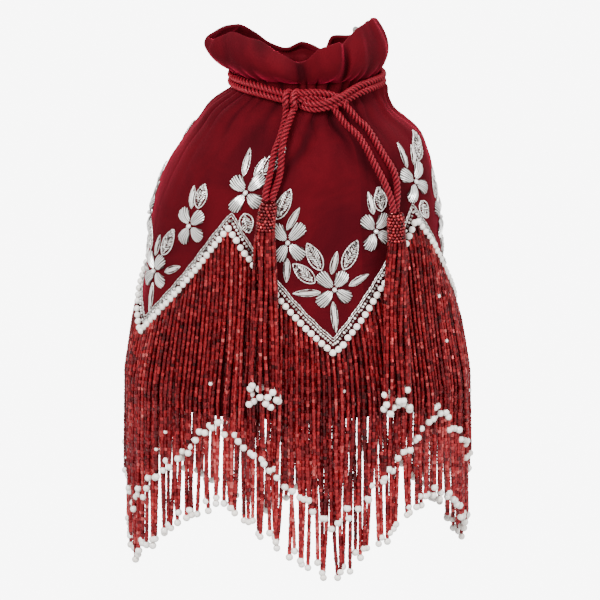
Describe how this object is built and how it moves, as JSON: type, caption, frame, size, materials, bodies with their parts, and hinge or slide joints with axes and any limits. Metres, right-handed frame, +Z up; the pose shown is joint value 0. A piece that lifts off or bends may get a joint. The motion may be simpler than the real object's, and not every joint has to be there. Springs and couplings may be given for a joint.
{
  "type": "drawstring evening pouch",
  "caption": "Round velvet drawstring pouch with a gathered ruffle neck, tied cord with beaded tassels, silver flowers, a pearl zigzag and a long bead fringe.",
  "frame": {"origin": "middle of the corded neck, level with the neck cords", "axes": "+Z up out of the mouth, -Y towards the front where the cords are tied, +X to the right seen from the front"},
  "size_m": [0.2226, 0.1687, 0.3576],
  "materials": {
    "velvet": "short pile velvet, deep crimson",
    "satin": "satin lining",
    "board": "grey stiffener board",
    "cord": "three-ply twisted rayon cord",
    "red_glass": "silver-lined red glass tube beads",
    "pearl": "imitation pearl",
    "silver": "bright silver wire and tube beads"
  },
  "bodies": {
    "root": {"velvet_front": "velvet", "velvet_back": "velvet", "base_panel": "velvet", "base_board": "board", "lining": "satin", "pearl_row": "pearl", "silver_bead_row": "silver", "silver_wire": "silver", "fringe_front": "red_glass", "fringe_right": "red_glass", "fringe_back": "red_glass", "fringe_left": "red_glass", "flower_front_point": "silver", "flower_front_left_limb": "silver", "flower_front_right_limb": "silver", "flower_front_peak": "silver", "flower_right_point": "silver", "flower_right_left_limb": "silver", "flower_right_right_limb": "silver", "flower_right_peak": "silver", "flower_back_point": "silver", "flower_back_left_limb": "silver", "flower_back_right_limb": "silver", "flower_back_peak": "silver", "flower_left_point": "silver", "flower_left_left_limb": "silver", "flower_left_right_limb": "silver", "flower_left_peak": "silver", "neck_cord_upper": "cord", "neck_cord_lower": "cord", "half_knot": "cord", "tail_left_front": "cord", "tail_left_rear": "cord", "tail_right_front": "cord", "tail_right_rear": "cord", "tassel_head_left": "red_glass", "tassel_skirt_left": "red_glass", "tassel_head_right": "red_glass", "tassel_skirt_right": "red_glass", "snap_stud": "silver", "snap_socket": "silver"}
  },
  "joints": []
}
